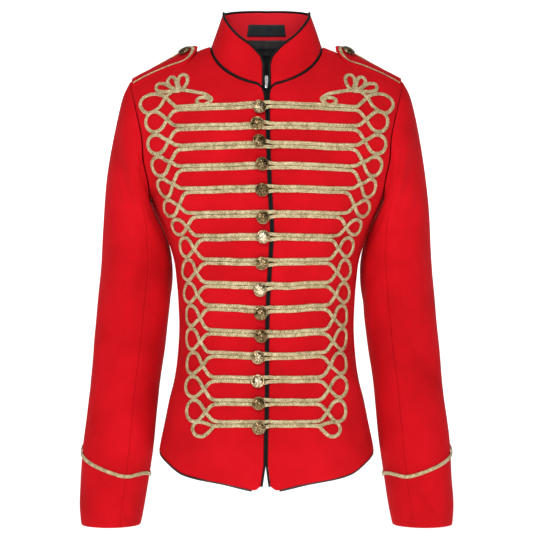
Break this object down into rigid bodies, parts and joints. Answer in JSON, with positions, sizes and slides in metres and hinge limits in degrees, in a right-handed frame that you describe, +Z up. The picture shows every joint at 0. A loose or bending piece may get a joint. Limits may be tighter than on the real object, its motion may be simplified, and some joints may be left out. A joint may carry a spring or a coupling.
{
  "type": "military parade jacket",
  "caption": "Waist-length red parade jacket with a stand collar, gold braid frogging, shoulder straps, cuff braid and a hidden front zip, filled out as if worn.",
  "frame": {"origin": "the middle of the wearer's neck, level with the top of the shoulder line: the fronts and back hang below it and the collar stands above it", "axes": "+Z up along the jacket's length, -Y towards the front closing, +Y towards the back, +X towards the wearer's left sleeve"},
  "size_m": [0.561, 0.2329, 0.7749],
  "materials": {
    "red_cloth": "fine scarlet twill, matt with a soft sheen",
    "black_trim": "black cord piping and zip tape",
    "black_lining": "black satin lining",
    "blank_label": "plain black woven label, blank",
    "gold_braid": "metallic gold flat braid",
    "aged_brass": "antique brass with dark recesses",
    "zip_metal": "satin grey metal"
  },
  "bodies": {
    "jacket": {"front_right": "red_cloth", "front_left": "red_cloth", "back": "red_cloth", "sleeve_top_right": "red_cloth", "sleeve_top_left": "red_cloth", "sleeve_under_right": "red_cloth", "sleeve_under_left": "red_cloth", "collar": "red_cloth", "shoulder_strap_right": "red_cloth", "shoulder_strap_left": "red_cloth", "collar_piping": "black_trim", "neck_piping": "black_trim", "front_piping_right": "black_trim", "front_piping_left": "black_trim", "zip_tape_right": "black_trim", "zip_tape_left": "black_trim", "back_lining": "black_lining", "label": "blank_label", "frogging_right": "gold_braid", "frogging_left": "gold_braid", "cuff_braid_right": "gold_braid", "cuff_braid_left": "gold_braid", "strap_braid_right": "gold_braid", "strap_braid_left": "gold_braid", "button_01": "aged_brass", "button_02": "aged_brass", "button_03": "aged_brass", "button_04": "aged_brass", "button_05": "aged_brass", "button_06": "aged_brass", "button_07": "aged_brass", "button_08": "aged_brass", "button_09": "aged_brass", "button_10": "aged_brass", "button_11": "aged_brass", "button_12": "aged_brass", "button_13": "aged_brass", "button_14": "aged_brass", "button_15": "aged_brass", "strap_button_right": "aged_brass", "strap_button_left": "aged_brass", "zip_chain": "zip_metal", "zip_slider": "zip_metal"},
    "zip_pull": {"zip_pull_tab": "zip_metal"}
  },
  "joints": [
    {"name": "pull_swing", "type": "hinge", "parent": "jacket", "child": "zip_pull", "pos_m": [0, -0.08526, -0.05078], "axis": [-1, 0, 0], "range_deg": [0, 120]}
  ]
}
